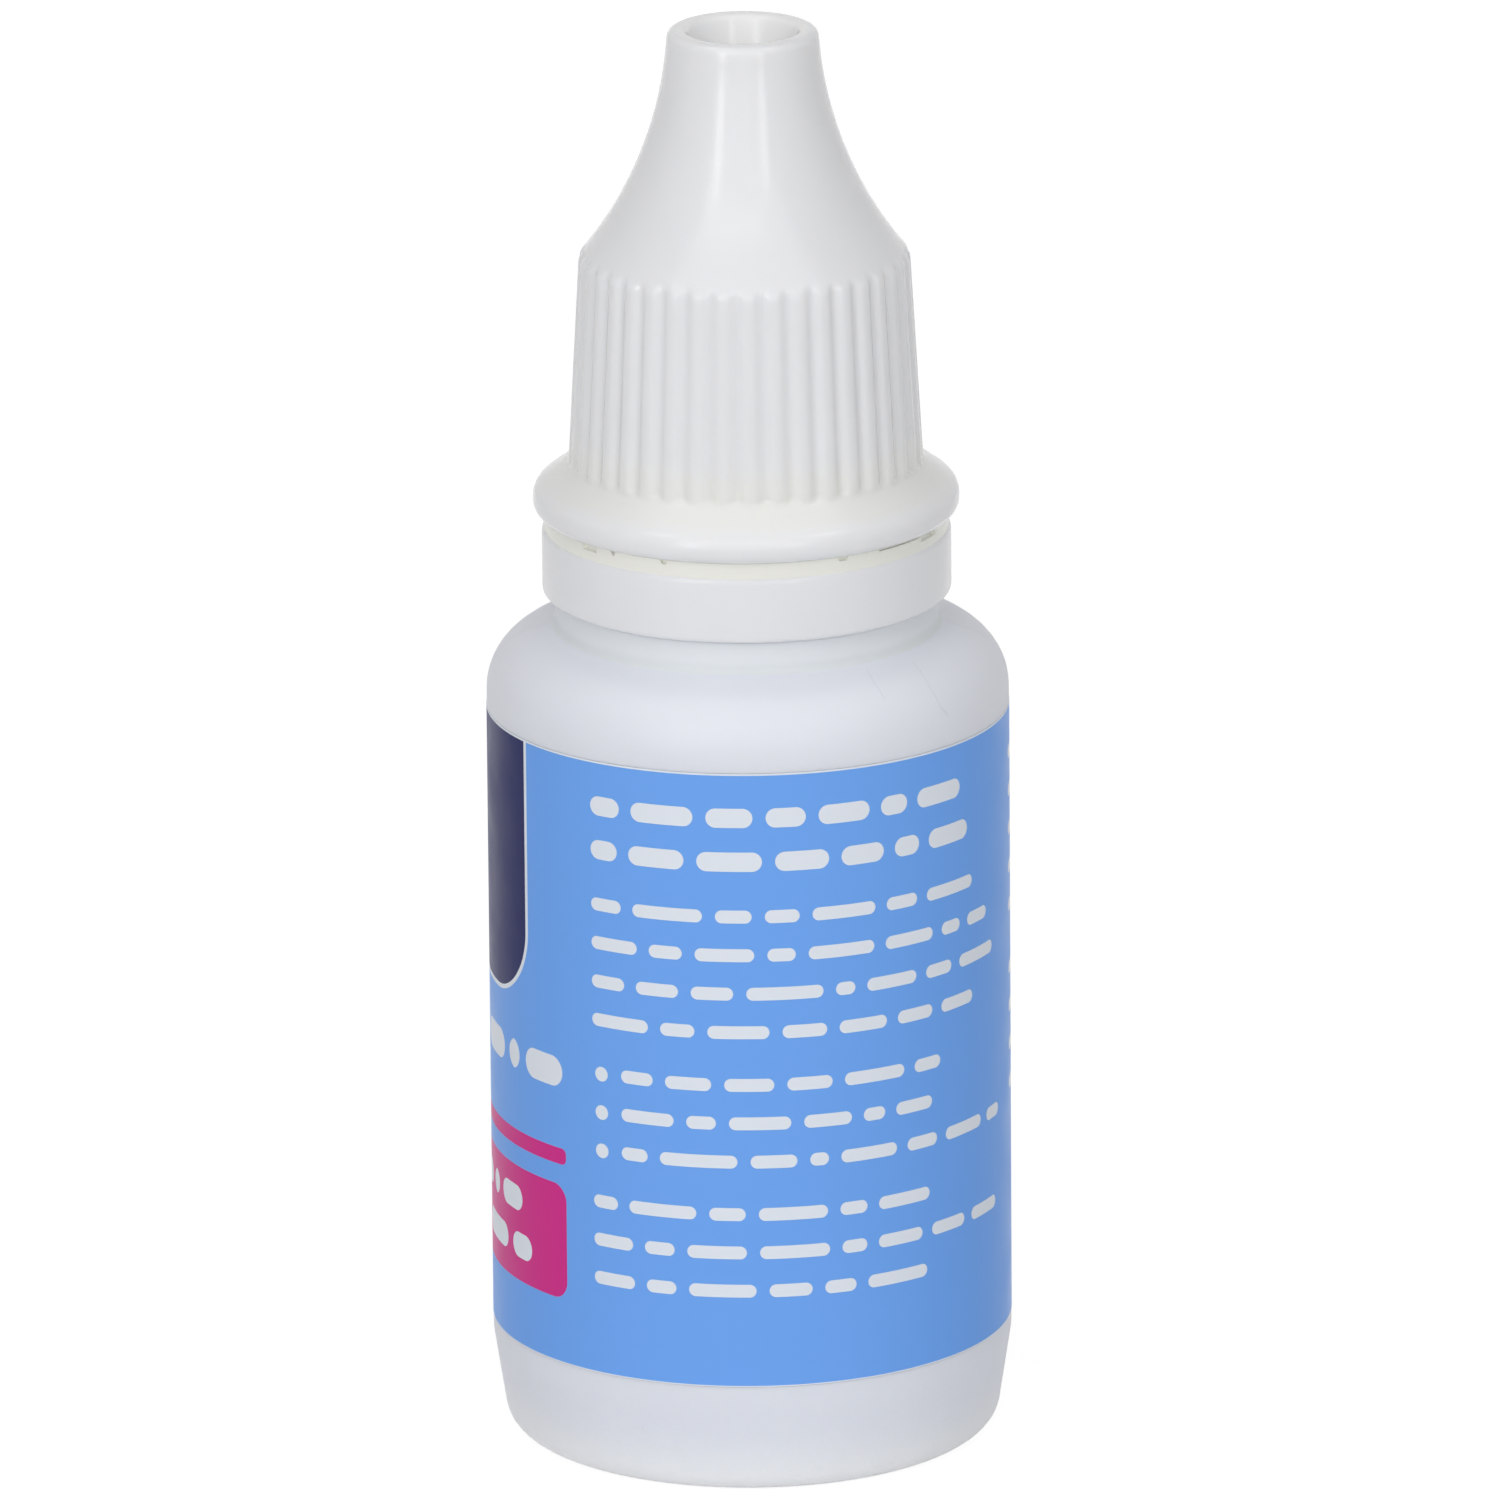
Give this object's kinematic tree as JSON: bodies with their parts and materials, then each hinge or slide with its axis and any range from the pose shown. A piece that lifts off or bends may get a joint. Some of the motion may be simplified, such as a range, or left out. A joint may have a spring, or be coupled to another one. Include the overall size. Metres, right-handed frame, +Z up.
{
  "type": "dropper bottle",
  "caption": "Small round squeeze bottle for drops, with wrap-round label, press-in dropper tip, ribbed screw cap with a concave nose and a tamper-evident ring.",
  "frame": {"origin": "centre of the bottle's base, on the plane of the ring that it stands on", "axes": "+Z up along the bottle's axis; -Y faces the viewer of the picture; +X is to that viewer's right"},
  "size_m": [0.025, 0.025, 0.0688],
  "materials": {
    "bottle_polyethylene": "white low-density polyethylene, satin, slightly cool",
    "insert_polyethylene": "natural white low-density polyethylene, satin",
    "label_film": "printed mid-blue film, semi-gloss",
    "cap_polyethylene": "white high-density polyethylene, satin gloss",
    "ring_polyethylene": "white high-density polyethylene, satin gloss"
  },
  "bodies": {
    "bottle_body": {"bottle": "bottle_polyethylene", "label": "label_film", "dropper_insert": "insert_polyethylene"},
    "ring_body": {"tamper_ring": "ring_polyethylene"},
    "cap_body": {"screw_cap": "cap_polyethylene"}
  },
  "joints": [
    {"name": "cap_turn", "type": "hinge", "parent": "bottle_body", "child": "ring_body", "pos_m": [0, 0, 0.04145], "axis": [0, 0, 1], "range_deg": [0, 2520]},
    {"name": "cap_rise", "type": "slide", "parent": "ring_body", "child": "cap_body", "axis": [0, 0, 1], "range_m": [0, 0.0211]}
  ],
  "couplings": [
    {"joint": "cap_rise", "follows": "cap_turn", "m_per_rad": 0.00047746}
  ]
}
